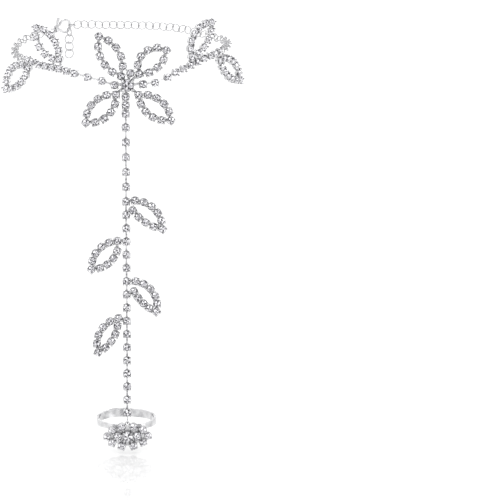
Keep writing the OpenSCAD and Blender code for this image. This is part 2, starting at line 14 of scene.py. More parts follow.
import bpy
import numpy as np
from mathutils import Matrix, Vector

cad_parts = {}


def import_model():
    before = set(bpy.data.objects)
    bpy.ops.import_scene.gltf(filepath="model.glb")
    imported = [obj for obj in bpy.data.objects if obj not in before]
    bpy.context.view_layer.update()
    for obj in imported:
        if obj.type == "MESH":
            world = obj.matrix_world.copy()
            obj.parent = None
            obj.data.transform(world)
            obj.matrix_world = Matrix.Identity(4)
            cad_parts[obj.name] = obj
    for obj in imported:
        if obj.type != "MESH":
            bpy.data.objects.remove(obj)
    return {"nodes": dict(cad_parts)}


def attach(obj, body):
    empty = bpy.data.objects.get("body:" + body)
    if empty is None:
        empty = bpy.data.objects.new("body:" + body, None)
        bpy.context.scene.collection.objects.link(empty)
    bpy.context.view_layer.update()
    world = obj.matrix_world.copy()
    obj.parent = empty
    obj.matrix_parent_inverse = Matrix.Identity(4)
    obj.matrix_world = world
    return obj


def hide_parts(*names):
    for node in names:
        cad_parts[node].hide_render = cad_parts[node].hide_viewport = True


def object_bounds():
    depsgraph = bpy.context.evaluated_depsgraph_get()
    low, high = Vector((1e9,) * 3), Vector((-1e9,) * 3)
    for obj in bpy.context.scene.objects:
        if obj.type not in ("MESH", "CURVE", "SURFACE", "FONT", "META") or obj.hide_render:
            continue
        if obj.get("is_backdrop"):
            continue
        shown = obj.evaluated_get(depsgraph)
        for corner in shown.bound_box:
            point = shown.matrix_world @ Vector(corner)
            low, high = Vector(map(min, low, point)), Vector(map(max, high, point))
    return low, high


Array = np.ndarray
Colour = tuple[float, float, float]
Spot = tuple[float, float, float]
MM = 0.001
BODY = "sandal"
LEAVES = (1, 2, 3, 4)
FLOOR_GAP = 1.0
LOG = logging.getLogger("barefoot_sandal")


class Slot(Enum):
    """The names of the material slots in the part's record for the new pieces, which they are not
    given.
    """

    CUPS = "cup_silver"
    CHAIN = "chain_silver"
    CRYSTAL = "crystal"
    CENTRE = "centre_crystal"
    ROSETTE = "rosette_crystal"


# Shader maths


class Reading:
    """A number socket: arithmetic on it adds Math nodes to its bench."""

    def __init__(self, bench: "Bench", socket: bpy.types.NodeSocket) -> None:
        """Keeps the socket and the bench that it belongs to."""
        self.bench = bench
        self.socket = socket

    def _join(self, operation: str, first: object, second: object) -> "Reading":
        """Adds one Math node.

        Args:
            operation: The Math node's operation.
            first: The node's first value, a Reading or a number.
            second: The node's second value, a Reading or a number.

        Returns:
            The node's result.
        """
        settings = {"operation": operation}
        return self.bench.reading("ShaderNodeMath", settings, {0: first, 1: second})

    def __add__(self, other: object) -> "Reading":
        """The sum."""
        return self._join("ADD", self, other)

    def __radd__(self, other: object) -> "Reading":
        """The sum, the other way round."""
        return self._join("ADD", other, self)

    def __sub__(self, other: object) -> "Reading":
        """The difference."""
        return self._join("SUBTRACT", self, other)

    def __rsub__(self, other: object) -> "Reading":
        """The difference, the other way round."""
        return self._join("SUBTRACT", other, self)

    def __mul__(self, other: object) -> "Reading":
        """The product."""
        return self._join("MULTIPLY", self, other)

    def under(self, limit: float) -> "Reading":
        """One where the value is below the limit, and nought elsewhere."""
        return self._join("LESS_THAN", self, limit)

    def clamped(self) -> "Reading":
        """The value held between nought and one."""
        return self._join("MINIMUM", self._join("MAXIMUM", self, 0.0), 1.0)


class Bench:
    """A node tree with one method that adds any node to it."""

    def __init__(self, tree: bpy.types.NodeTree) -> None:
        """Empties the tree.

        Args:
            tree: The node tree of a material or of the world.
        """
        self.tree = tree
        self.tree.nodes.clear()

    def add(self, kind: str, settings: dict | None = None,
            sockets: dict | None = None) -> bpy.types.Node:
        """Adds a node: its settings first, then its sockets' values and links.

        Args:
            kind: The node's type.
            settings: The node's properties by name; stops are a colour ramp's.
            sockets: Values, sockets or Readings, by the input's name or number.

        Returns:
            The new node.
        """
        node = self.tree.nodes.new(kind)
        for name, value in (settings or {}).items():
            if name == "stops":
                self._set_stops(node.color_ramp, value)
            else:
                setattr(node, name, value)
        for name, value in (sockets or {}).items():
            if isinstance(value, Reading):
                value = value.socket
            if isinstance(value, bpy.types.NodeSocket):
                self.tree.links.new(value, node.inputs[name])
            else:
                node.inputs[name].default_value = value
        return node

    @staticmethod
    def _set_stops(ramp: bpy.types.ColorRamp, stops: tuple) -> None:
        """Gives a colour ramp its stops.

        Args:
            ramp: The ramp.
            stops: Pairs of a place and a colour.
        """
        while len(ramp.elements) < len(stops):
            ramp.elements.new(1.0)
        for element, (place, colour) in zip(ramp.elements, stops):
            element.position = place
            element.color = (*colour, 1.0)

    def reading(self, kind: str, settings: dict | None = None, sockets: dict | None = None,
                output: int | str = 0) -> Reading:
        """Adds a node and wraps one of its outputs.

        Args:
            kind: The node's type.
            settings: The node's properties by name.
            sockets: The node's inputs by name or number.
            output: The output's name or number.

        Returns:
            The output as a number that arithmetic works on.
        """
        return Reading(self, self.add(kind, settings, sockets).outputs[output])

    def place(self) -> bpy.types.NodeSocket:
        """The object coordinates, which are the model's own metres."""
        return self.add("ShaderNodeTexCoord").outputs["Object"]

    def noise(self, grain: float, detail: float = 2.0) -> Reading:
        """Adds cloudy noise.

        Args:
            grain: The size of its patches in millimetres.
            detail: The number of finer layers.

        Returns:
            The noise, about 0.5 on average.
        """
        sockets = {"Vector": self.place(), "Scale": 1.0 / (grain * MM), "Detail": detail}
        return self.reading("ShaderNodeTexNoise", None, sockets, "Fac")


def new_bench(name: str) -> tuple[bpy.types.Material, Bench]:
    """Makes an empty material.

    Args:
        name: The material's name.

    Returns:
        The material and the bench of its nodes.
    """
    material = bpy.data.materials.new(name)
    material.use_nodes = True
    return material, Bench(material.node_tree)


# Finishes


# The Mix node's colour sockets, by number because its other sockets share their names
MIX_FIRST = 6
MIX_SECOND = 7
MIX_RESULT = 2


@dataclass(frozen=True)
class SilverFinish:
    """Silver plate: painted reflection patches, varying gloss, tiny dents and painted recess shade.

    Attributes:
        name: The material's name.
        dark: The darkest painted reflection.
        light: The lightest painted reflection.
        patch: The size of the painted reflection patches.
        roughness: The lowest and the highest roughness.
        dent: The depth of the dents.
        recess: How near other metal has to be for painted shade in a recess.
        painted_recess_shade: The share of its colour that painted shade takes in the deepest recess.
        dark_at: The noise below which the painted reflection is darkest.
        light_at: The noise above which the painted reflection is lightest.
        gloss_patch: The size of the gloss's patches, in painted reflection patches.
        dent_patch: The size of a dent, in painted reflection patches.
        dent_strength: The share of the dents' slope that shows.
        painted_recess_tone: The colour of the painted shade in the deepest recess.
        recess_rays: The number of rays that look for neighbouring metal.
    """

    name: str
    dark: Colour
    light: Colour
    patch: float
    roughness: tuple[float, float]
    dent: float
    recess: float
    painted_recess_shade: float
    dark_at: float = 0.32
    light_at: float = 0.62
    gloss_patch: float = 1.7
    dent_patch: float = 0.45
    dent_strength: float = 0.5
    painted_recess_tone: Colour = (0.05, 0.05, 0.055)
    recess_rays: int = 6

    def make(self) -> bpy.types.Material:
        """Builds the material.

        The base colour is painted reflection, from dark to light with noise, times painted shade:
        the openness of the place, which is how little of it the neighbouring metal hides.

        Returns:
            The material.
        """
        material, bench = new_bench(self.name)
        # Painted reflection: noise patches of dark and light silver stand in for the mirrored room.
        cloud = bench.noise(self.patch, 4.0)
        stops = ((self.dark_at, self.dark), (self.light_at, self.light))
        tone = bench.add("ShaderNodeValToRGB", {"stops": stops}, {"Fac": cloud})
        # Painted shade: ambient occlusion darkens the base colour where neighbouring metal is near.
        hidden = {"Distance": self.recess * MM}
        settings = {"samples": self.recess_rays}
        open_share = bench.reading("ShaderNodeAmbientOcclusion", settings, hidden, "AO")
        shade = (1.0 - self.painted_recess_shade) + open_share * self.painted_recess_shade
        mix = {"data_type": "RGBA", "blend_type": "MIX"}
        sockets = {"Factor": shade, MIX_FIRST: (*self.painted_recess_tone, 1.0),
                   MIX_SECOND: tone.outputs["Color"]}
        base = bench.add("ShaderNodeMix", mix, sockets)
        low, high = self.roughness
        gloss = low + bench.noise(self.patch * self.gloss_patch) * (high - low)
        bump = bench.add("ShaderNodeBump", None,
                         {"Strength": self.dent_strength, "Distance": self.dent * MM,
                          "Height": bench.noise(self.patch * self.dent_patch, 3.0)})
        shader = bench.add("ShaderNodeBsdfPrincipled", None,
                           {"Base Color": base.outputs[MIX_RESULT], "Metallic": 1.0,
                            "Roughness": gloss, "Normal": bump.outputs["Normal"]})
        bench.add("ShaderNodeOutputMaterial", None, {"Surface": shader.outputs["BSDF"]})
        return material


@dataclass(frozen=True)
class CrystalFinish:
    """Foil-backed cut crystal: each facet's colour is a painted reflection, light or dark.

    Attributes:
        name: The material's name.
        dark: The painted reflection of a dark facet.
        middle: The painted reflection halfway.
        light: The painted highlight of a bright facet.
        splinter: The size of the cells of painted reflection that stand for the pavilion.
        facet_share: The facet's own share of the painted brightness, the rest being the cells'.
        places: The painted brightness at which each of the three tones is reached.
        metallic: How much of the light the foil throws back.
        smoothest: The lowest roughness.
        roughness_spread: What the brightest cell adds to the roughness.
        glass_index: The refractive index of the crystal.
        coat_roughness: The roughness of the polished face.
        coat_index: The refractive index of the polished face.
    """

    name: str
    dark: Colour
    middle: Colour
    light: Colour
    splinter: float
    facet_share: float = 0.74
    places: tuple[float, float, float] = (0.15, 0.45, 0.85)
    metallic: float = 0.75
    smoothest: float = 0.07
    roughness_spread: float = 0.1
    glass_index: float = 1.55
    coat_roughness: float = 0.02
    coat_index: float = 1.6

    def make(self) -> bpy.types.Material:
        """Builds the material.

        The base colour is painted reflection: mostly the facet's own value, and partly the
        cells of a Voronoi pattern, which paint the pavilion's facets seen through the crown.

        Returns:
            The material.
        """
        material, bench = new_bench(self.name)
        # Painted reflection: the facet's stored brightness and the Voronoi cells set the base
        # colour.
        facet = bench.reading("ShaderNodeAttribute", {"attribute_name": "facet"}, None, "Fac")
        cells = bench.add("ShaderNodeTexVoronoi", {"feature": "F1"},
                          {"Vector": bench.place(), "Scale": 1.0 / (self.splinter * MM)})
        painted_glint = bench.reading("ShaderNodeSeparateColor", None, {0: cells.outputs["Color"]}, 0)
        value = (facet * self.facet_share + painted_glint * (1.0 - self.facet_share)).clamped()
        stops = tuple(zip(self.places, (self.dark, self.middle, self.light)))
        base = bench.add("ShaderNodeValToRGB", {"stops": stops}, {"Fac": value})
        roughness = self.smoothest + painted_glint * self.roughness_spread
        shader = bench.add("ShaderNodeBsdfPrincipled", None,
                           {"Base Color": base.outputs["Color"], "Metallic": self.metallic,
                            "Roughness": roughness, "IOR": self.glass_index, "Coat Weight": 1.0,
                            "Coat Roughness": self.coat_roughness, "Coat IOR": self.coat_index})
        bench.add("ShaderNodeOutputMaterial", None, {"Surface": shader.outputs["BSDF"]})
        return material


@dataclass(frozen=True)
class FloorFinish:
    """Pale glossy acrylic, which mirrors the toe ring faintly.

    Attributes:
        name: The material's name.
        tone: The acrylic's colour.
        patch: The size of the gloss's patches.
        smoothest: The lowest roughness.
        roughness_spread: What the noise adds to the roughness at most.
        mirror_level: The strength of the mirrored light, 0.5 being that of glass.
    """

    name: str = "pale_acrylic"
    tone: Colour = (0.82, 0.82, 0.82)
    patch: float = 60.0
    smoothest: float = 0.006
    roughness_spread: float = 0.01
    mirror_level: float = 0.5

    def make(self) -> bpy.types.Material:
        """Builds the material.

        Returns:
            The material.
        """
        material, bench = new_bench(self.name)
        gloss = self.smoothest + bench.noise(self.patch) * self.roughness_spread
        shader = bench.add("ShaderNodeBsdfPrincipled", None,
                           {"Base Color": (*self.tone, 1.0), "Roughness": gloss,
                            "Specular IOR Level": self.mirror_level})
        bench.add("ShaderNodeOutputMaterial", None, {"Surface": shader.outputs["BSDF"]})
        return material


# Each silver paints reflection patches into its base colour and shade into its recesses.
CUP_SILVER = SilverFinish(
    "cup_silver_plate", dark=(0.28, 0.28, 0.29), light=(0.78, 0.78, 0.79), patch=0.8,
    roughness=(0.12, 0.34), dent=0.02, recess=0.5, painted_recess_shade=0.3)
# The side cups' silver is the cups' silver painted lighter: painted light for the ankle's sides.
PAINTED_LIGHT_SIDE_SILVER = SilverFinish(
    "painted_light_side_cup_silver_plate", dark=(0.48, 0.48, 0.49), light=(0.9, 0.9, 0.91), patch=0.8,
    roughness=(0.16, 0.38), dent=0.02, recess=0.5, painted_recess_shade=0.2)
CHAIN_SILVER = SilverFinish(
    "chain_silver_plate", dark=(0.42, 0.42, 0.43), light=(0.6, 0.6, 0.61), patch=0.7,
    roughness=(0.28, 0.46), dent=0.012, recess=0.5, painted_recess_shade=0.2)
CLASP_SILVER = SilverFinish(
    "clasp_silver_plate", dark=(0.44, 0.44, 0.45), light=(0.68, 0.68, 0.69), patch=1.4,
    roughness=(0.22, 0.4), dent=0.012, recess=0.6, painted_recess_shade=0.3)
BAND_SILVER = SilverFinish(
    "band_silver_plate", dark=(0.42, 0.42, 0.43), light=(0.72, 0.72, 0.73), patch=2.2,
    roughness=(0.07, 0.22), dent=0.012, recess=0.6, painted_recess_shade=0.25)
# The crystal's tones are painted reflections: dark facets, mid facets and painted highlights.
CLEAR_CRYSTAL = CrystalFinish(
    "clear_crystal", dark=(0.015, 0.015, 0.02), middle=(0.26, 0.255, 0.285),
    light=(0.95, 0.945, 0.97), splinter=0.34)


# Pieces


def unit(vectors: Array) -> Array:
    """The vectors at length one: each one over the root of its summed squares."""
    return vectors / np.linalg.norm(vectors, axis=-1, keepdims=True)


def add_piece(name: str, points: Array, faces: list[list[int]], smooth: bool) -> bpy.types.Object:
    """Puts computed points and faces into a new object at the origin.

    Args:
        name: The piece's name.
        points: The vertices in metres, one row each.
        faces: The vertex numbers of each face.
        smooth: Whether the faces are shaded smooth.

    Returns:
        The object, linked to the scene.
    """
    mesh = bpy.data.meshes.new(name)
    mesh.from_pydata(points.reshape(-1, 3).tolist(), [], faces)
    mesh.polygons.foreach_set("use_smooth", np.full(len(faces), smooth))
    mesh.update()
    piece = bpy.data.objects.new(name, mesh)
    bpy.context.scene.collection.objects.link(piece)
    return piece


def mesh_points(nodes: list[bpy.types.Object]) -> Array:
    """Reads the points of several objects.

    Args:
        nodes: The objects.

    Returns:
        All their points in metres, one row each, repeats left out.
    """
    blocks = []
    for node in nodes:
        block = np.empty(len(node.data.vertices) * 3)
        node.data.vertices.foreach_get("co", block)
        blocks.append(block.reshape(-1, 3))
    return np.unique(np.concatenate(blocks), axis=0)


def hand_over(piece: bpy.types.Object, material: bpy.types.Material,
              replaced: str | None = None) -> None:
    """Gives a new piece its material, hangs it on the sandal's body and hides any node it replaces.

    Args:
        piece: The new piece.
        material: Its material.
        replaced: The fixed model's node whose place it takes, if it takes one.
    """
    piece.data.materials.append(material)
    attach(piece, BODY)
    if replaced is not None:
        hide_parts(replaced)
    LOG.info("%s: %d faces, rides on %s", piece.name, len(piece.data.polygons), BODY)


def hang(name: str, data: bpy.types.ID, spot: Spot, aim: Spot) -> bpy.types.Object:
    """Puts a lamp or a camera in its place and turns it to its aim.

    Args:
        name: The object's name.
        data: The lamp or the camera.
        spot: Where it hangs.
        aim: The point that it looks at.

    Returns:
        The object, linked to the scene.
    """
    holder = bpy.data.objects.new(name, data)
    holder.location = spot
    heading = Vector(aim) - Vector(spot)
    holder.rotation_euler = heading.to_track_quat("-Z", "Y").to_euler()
    bpy.context.scene.collection.objects.link(holder)
    return holder


# Stones


# The cosine above which two normals are one, and the metres within which a corner is on a plane
SAME_NORMAL = 0.9995
ON_TABLE = 2e-6


@dataclass
class Seats:
    """Where the stones of one node lie, an array row for each stone, in metres.

    Attributes:
        table: The middle of the table.
        axis: The direction out of the table.
        side: The direction from the axis to a corner of the table.
        girdle_r: The girdle's radius.
        table_r: The table's radius, out to its corners.
        crown: The depth of the girdle under the table.
        pavilion: The depth of the lowest point under the girdle.
    """

    table: Array
    axis: Array
    side: Array
    girdle_r: Array
    table_r: Array
    crown: Array
    pavilion: Array

    @classmethod
    def read(cls, node: bpy.types.Object, faces_each: int = 30) -> "Seats":
        """Measures the seats on the fixed model's plain stones.

        A stone's table is its largest group of faces with one normal. That normal is the
        axis, the group's centroid is the table's centre, and the farthest corner from the
        axis is on the girdle.

        Args:
            node: The fixed model's object with the plain stones.
            faces_each: The number of triangles in one plain stone.

        Returns:
            The seats.
        """
        mesh = node.data
        mesh.calc_loop_triangles()
        points = np.empty(len(mesh.vertices) * 3)
        mesh.vertices.foreach_get("co", points)
        corners = np.empty(len(mesh.loop_triangles) * 3, dtype=np.int64)
        mesh.loop_triangles.foreach_get("vertices", corners)
        solid = points.reshape(-1, 3)[corners].reshape(-1, faces_each, 3, 3)
        cross = np.cross(solid[:, :, 1] - solid[:, :, 0], solid[:, :, 2] - solid[:, :, 0])
        area = np.linalg.norm(cross, axis=2)
        normal = cross / area[..., None]
        same = np.einsum("nik,njk->nij", normal, normal) > SAME_NORMAL
        grouped = (same * area[:, None, :]).sum(axis=2)
        rows = np.arange(len(solid))
        first = grouped.argmax(axis=1)
        axis = normal[rows, first]
        weight = (same[rows, first] * area)[..., None]
        table = (weight * solid.mean(axis=2)).sum(axis=1) / weight.sum(axis=1)
        out = solid.reshape(len(solid), -1, 3) - table[:, None]
        height = np.einsum("nik,nk->ni", out, axis)
        flat = out - height[..., None] * axis[:, None]
        reach = np.linalg.norm(flat, axis=2)
        edge = reach.argmax(axis=1)
        rim = np.where(np.abs(height) < ON_TABLE, reach, 0.0)
        corner = rim.argmax(axis=1)
        crown = -height[rows, edge]
        return cls(table, axis, unit(flat[rows, corner]), reach[rows, edge], rim[rows, corner],
                   crown, -height.min(axis=1) - crown)

    def prong_turns(self, metal: Array, reach_out: float = 0.25 * MM,
                    rise: tuple[float, float] = (0.1 * MM, 1.2 * MM)) -> Array:
        """Measures how far the prongs round each stone are turned from its side.

        The cup's only metal above the girdle is its four prongs. Their angle is a quarter
        of the angle of the sum of all their points' directions, each turned four times.

        Args:
            metal: The cups' points in metres, one row each.
            reach_out: How far outside the girdle the prongs may lie.
            rise: The lowest and highest that a prong's point may lie over the girdle.

        Returns:
            One angle for each stone, in radians.
        """
        out = metal[None] - self.table[:, None]
        height = np.einsum("nik,nk->ni", out, self.axis) + self.crown[:, None]
        x = np.einsum("nik,nk->ni", out, self.side)
        y = np.einsum("nik,nk->ni", out, np.cross(self.axis, self.side))
        reach = np.hypot(x, y)
        girdle = self.girdle_r[:, None]
        prong = (height > rise[0]) & (height < rise[1]) & (reach > girdle)
        prong &= reach < girdle + reach_out
        return np.angle((prong * np.exp(4j * np.arctan2(y, x))).sum(axis=1)) / 4


class Facet(Enum):
    """The kinds of facet: how many, the first one's angle in steps, and its mean painted light."""

    TABLE = (8, 0.5, 0.38)
    STAR = (8, 0.5, 0.6)
    GIRDLE = (16, 0.5, 0.62)
    PAVILION = (16, 0.5, 0.4)
    KITE = (8, 0.0, 0.68)

    def angles(self) -> Array:
        """The angle of each of these facets about the stone's axis, in radians."""
        count, first, _ = self.value
        return (np.arange(count) + first) * 2 * math.pi / count

    @property
    def light(self) -> float:
        """The facets' mean painted brightness."""
        return self.value[2]


@dataclass
class BrilliantCut:
    """A round brilliant: table, eight stars, eight kites, girdle and pavilion facets.

    Attributes:
        kite_share: How far out the kites' shoulders lie, from the table to the girdle.
        swell: What is added to the plain stone's girdle radius.
        contrast: How much brighter or darker than the mean the painted lobes are.
        chance: How much of its own painted brightness each facet gains or loses at most.
    """

    kite_share: float = 0.55
    swell: float = 0.06
    contrast: float = 0.62
    chance: float = 0.22

    def corners(self, seats: Seats) -> Array:
        """Works out every corner of every stone.

        The rings are the table (8 corners), the kites' shoulders (8, half a step on) and
        the girdle (16). A shoulder lies in the kite's plane: its height falls with its
        distance along the kite, which is its radius times the cosine of half a step.

        Args:
            seats: The seats to fill.

        Returns:
            Corners in metres, by stone, corner and coordinate.
        """
        step = math.pi / 8
        girdle_r = seats.girdle_r + self.swell * MM
        table_a = np.arange(8) * 2 * step
        girdle_a = np.arange(16) * step
        angle = np.concatenate([table_a, table_a + step, girdle_a, [0.0, 0.0]])
        shoulder_r = seats.table_r + (girdle_r - seats.table_r) * self.kite_share
        along = shoulder_r * math.cos(step) - seats.table_r
        drop = seats.crown * along / (girdle_r - seats.table_r)
        zero = np.zeros_like(drop)
        rings = ((8, seats.table_r, zero), (8, shoulder_r, drop), (16, girdle_r, seats.crown),
                 (1, zero, zero), (1, zero, seats.crown + seats.pavilion))
        radius = np.concatenate([np.repeat(r[:, None], n, axis=1) for n, r, _ in rings], axis=1)
        depth = np.concatenate([np.repeat(d[:, None], n, axis=1) for n, _, d in rings], axis=1)
        across = np.cross(seats.axis, seats.side)
        spoke = (np.cos(angle)[:, None] * seats.side[:, None]
                 + np.sin(angle)[:, None] * across[:, None])
        return (seats.table[:, None] + radius[..., None] * spoke
                - depth[..., None] * seats.axis[:, None])

    def faces(self) -> tuple[Array, Array]:
        """Lists one stone's facets.

        Corners 0-7 are the table, 8-15 the shoulders, 16-31 the girdle, 32 the table's
        middle and 33 the culet. Each facet runs anticlockwise seen from outside.

        Returns:
            The triangles (table, star, girdle, pavilion) and the kites.
        """
        k = np.arange(8)
        after = (k + 1) % 8
        g = np.arange(16)
        g_after = (g + 1) % 16
        middle, culet = np.full(8, 32), np.full(16, 33)
        table = np.stack([middle, k, after], axis=1)
        star = np.stack([k, 8 + k, after], axis=1)
        girdle = np.stack([8 + g // 2, 16 + g, 16 + g_after], axis=1)
        pavilion = np.stack([culet, 16 + g_after, 16 + g], axis=1)
        kite = np.stack([k, 8 + (k - 1) % 8, 16 + 2 * k, 8 + k], axis=1)
        return np.concatenate([table, star, girdle, pavilion]), kite

    def values(self, stones: int, seed: int, lift: float) -> Array:
        """Draws each facet's painted brightness, from nought, dark, to one.

        Painted light and dark lobes go round the stone: the brightness is the kind's mean, plus
        a sine of the facet's angle times the number of lobes, plus a little chance.

        Args:
            stones: The number of stones.
            seed: The seed of the draw.
            lift: Painted light added to every facet.

        Returns:
            Painted brightness by stone and facet, triangles first and kites last.
        """
        draw = np.random.default_rng(seed)
        blocks = []
        for kind in Facet:
            angle = kind.angles()
            lobes = draw.integers(2, 5, (stones, 1))
            phase = draw.uniform(0.0, 2 * math.pi, (stones, 1))
            wave = np.sin(lobes * angle + phase) * self.contrast
            chance = draw.uniform(-self.chance, self.chance, (stones, len(angle)))
            blocks.append(kind.light + lift + wave + chance)
        return np.clip(np.concatenate(blocks, axis=1), 0.0, 1.0)


@dataclass
class StoneField:
    """The cut stones that take the place of one node's plain stones.

    Attributes:
        node: The node of plain stones.
        slot: The stones' material slot; not used.
        seed: The seed of their facets' painted brightness.
        lift: Painted light added to every facet's brightness.
        cut: The shape of the stones.
    """

    node: str
    slot: Slot
    seed: int
    lift: float = 0.0
    cut: BrilliantCut = field(default_factory=BrilliantCut)

    def build(self, seats: Seats, material: bpy.types.Material) -> None:
        """Builds and dresses the field.

        Args:
            seats: The field's seats.
            material: The crystal.
        """
        points = self.cut.corners(seats)
        stones, corners = points.shape[:2]
        shift = (np.arange(stones) * corners)[:, None, None]
        triangles, kites = self.cut.faces()
        faces = (triangles + shift).reshape(-1, 3).tolist()
        faces += (kites + shift).reshape(-1, 4).tolist()
        name = self.node.replace("stones", "brilliants").replace("_stone", "_brilliant")
        piece = add_piece(name, points, faces, smooth=False)
        # Painted reflection: each facet's brightness is stored for the crystal to read.
        value = self.cut.values(stones, self.seed, self.lift)
        split = len(triangles)
        flat = np.concatenate([value[:, :split].ravel(), value[:, split:].ravel()])
        piece.data.attributes.new("facet", "FLOAT", "FACE").data.foreach_set("value", flat)
        hand_over(piece, material, self.node)


@dataclass
class ClawSet:
    """The bent tips of a cup's four prongs, which lie over the edge of its stone.

    Attributes:
        stations: The places that a claw runs through, from the cup's wall to its tip: the
            distance from the stone's axis, the height over the girdle, half the width and
            half the thickness, as on a plain chain stone.
        plain_r: The girdle radius of a plain chain stone.
    """

    stations: tuple[tuple[float, float, float, float], ...] = (
        (1.25, -0.8, 0.24, 0.05), (1.36, -0.3, 0.3, 0.13), (1.42, 0.28, 0.3, 0.12),
        (1.28, 0.57, 0.28, 0.1), (1.04, 0.6, 0.23, 0.07), (0.84, 0.46, 0.14, 0.05))
    plain_r: float = 1.05

    def slimmer(self, less: float, wall_r: float = 1.2, width: float = 0.9) -> "ClawSet":
        """Draws the claws' outer side in.

        Args:
            less: By how many millimetres.
            wall_r: The radius that no outer station comes inside.
            width: The share of the width that is left.

        Returns:
            The slimmer claws.
        """
        drawn = [(max(r - less, wall_r) if r > wall_r else r, height, half * width, thick)
                 for r, height, half, thick in self.stations]
        return ClawSet(tuple(drawn))

    def corners(self, seats: Seats, turns: Array) -> Array:
        """Works out the claws' points.

        A claw is a rounded strip through its stations, in proportion to the stone. Its six
        sides are its width along the tangent and its thickness along the strip's own
        normal, which is its run turned a quarter.

        Args:
            seats: The stones' seats.
            turns: The prongs' angle at each stone, in radians.

        Returns:
            Points in metres, by stone, claw, station, side and coordinate.
        """
        track = np.array(self.stations)
        run = unit(np.gradient(track[:, :2], axis=0))
        across = np.array([-1.0, -0.6, 0.6, 1.0, 0.6, -0.6])
        through = np.array([0.0, 1.0, 1.0, 0.0, -1.0, -1.0])
        scale = (seats.girdle_r / self.plain_r)[:, None, None, None, None]
        angle = turns[:, None] + np.arange(4) * math.pi / 2
        side_on = np.cross(seats.axis, seats.side)
        spoke = (np.cos(angle)[..., None] * seats.side[:, None]
                 + np.sin(angle)[..., None] * side_on[:, None])
        tangent = np.cross(seats.axis[:, None], spoke)
        thick = track[:, 3:4] * through
        radius = track[:, 0:1] + thick * run[:, 1:2]
        height = track[:, 1:2] - thick * run[:, 0:1]
        width = track[:, 2:3] * across
        local = (radius[..., None] * spoke[:, :, None, None]
                 + width[..., None] * tangent[:, :, None, None]
                 + height[..., None] * seats.axis[:, None, None, None])
        girdle = seats.table - seats.crown[:, None] * seats.axis
        return girdle[:, None, None, None] + local * scale

    def faces(self, claws: int) -> list[list[int]]:
        """The strips' quads from station to station, and a face over each end."""
        last = len(self.stations) - 1
        i, j = np.meshgrid(np.arange(last), np.arange(6), indexing="ij")
        j_on = (j + 1) % 6
        quad = np.stack([i * 6 + j, (i + 1) * 6 + j, (i + 1) * 6 + j_on, i * 6 + j_on], axis=-1)
        ends = np.stack([np.arange(6), last * 6 + np.arange(6)[::-1]])
        shift = (np.arange(claws) * (last + 1) * 6)[:, None, None]
        sides = (quad.reshape(-1, 4) + shift).reshape(-1, 4).tolist()
        return sides + (ends + shift).reshape(-1, 6).tolist()

    def build(self, name: str, seats: Seats, metal: Array, material: bpy.types.Material) -> None:
        """Builds and dresses the claws of one field of stones.

        Args:
            name: The new piece's name.
            seats: The field's seats.
            metal: The cups' points in metres.
            material: The cups' silver.
        """
        points = self.corners(seats, seats.prong_turns(metal))
        piece = add_piece(name, points, self.faces(points.shape[0] * 4), smooth=True)
        hand_over(piece, material)


# Chains


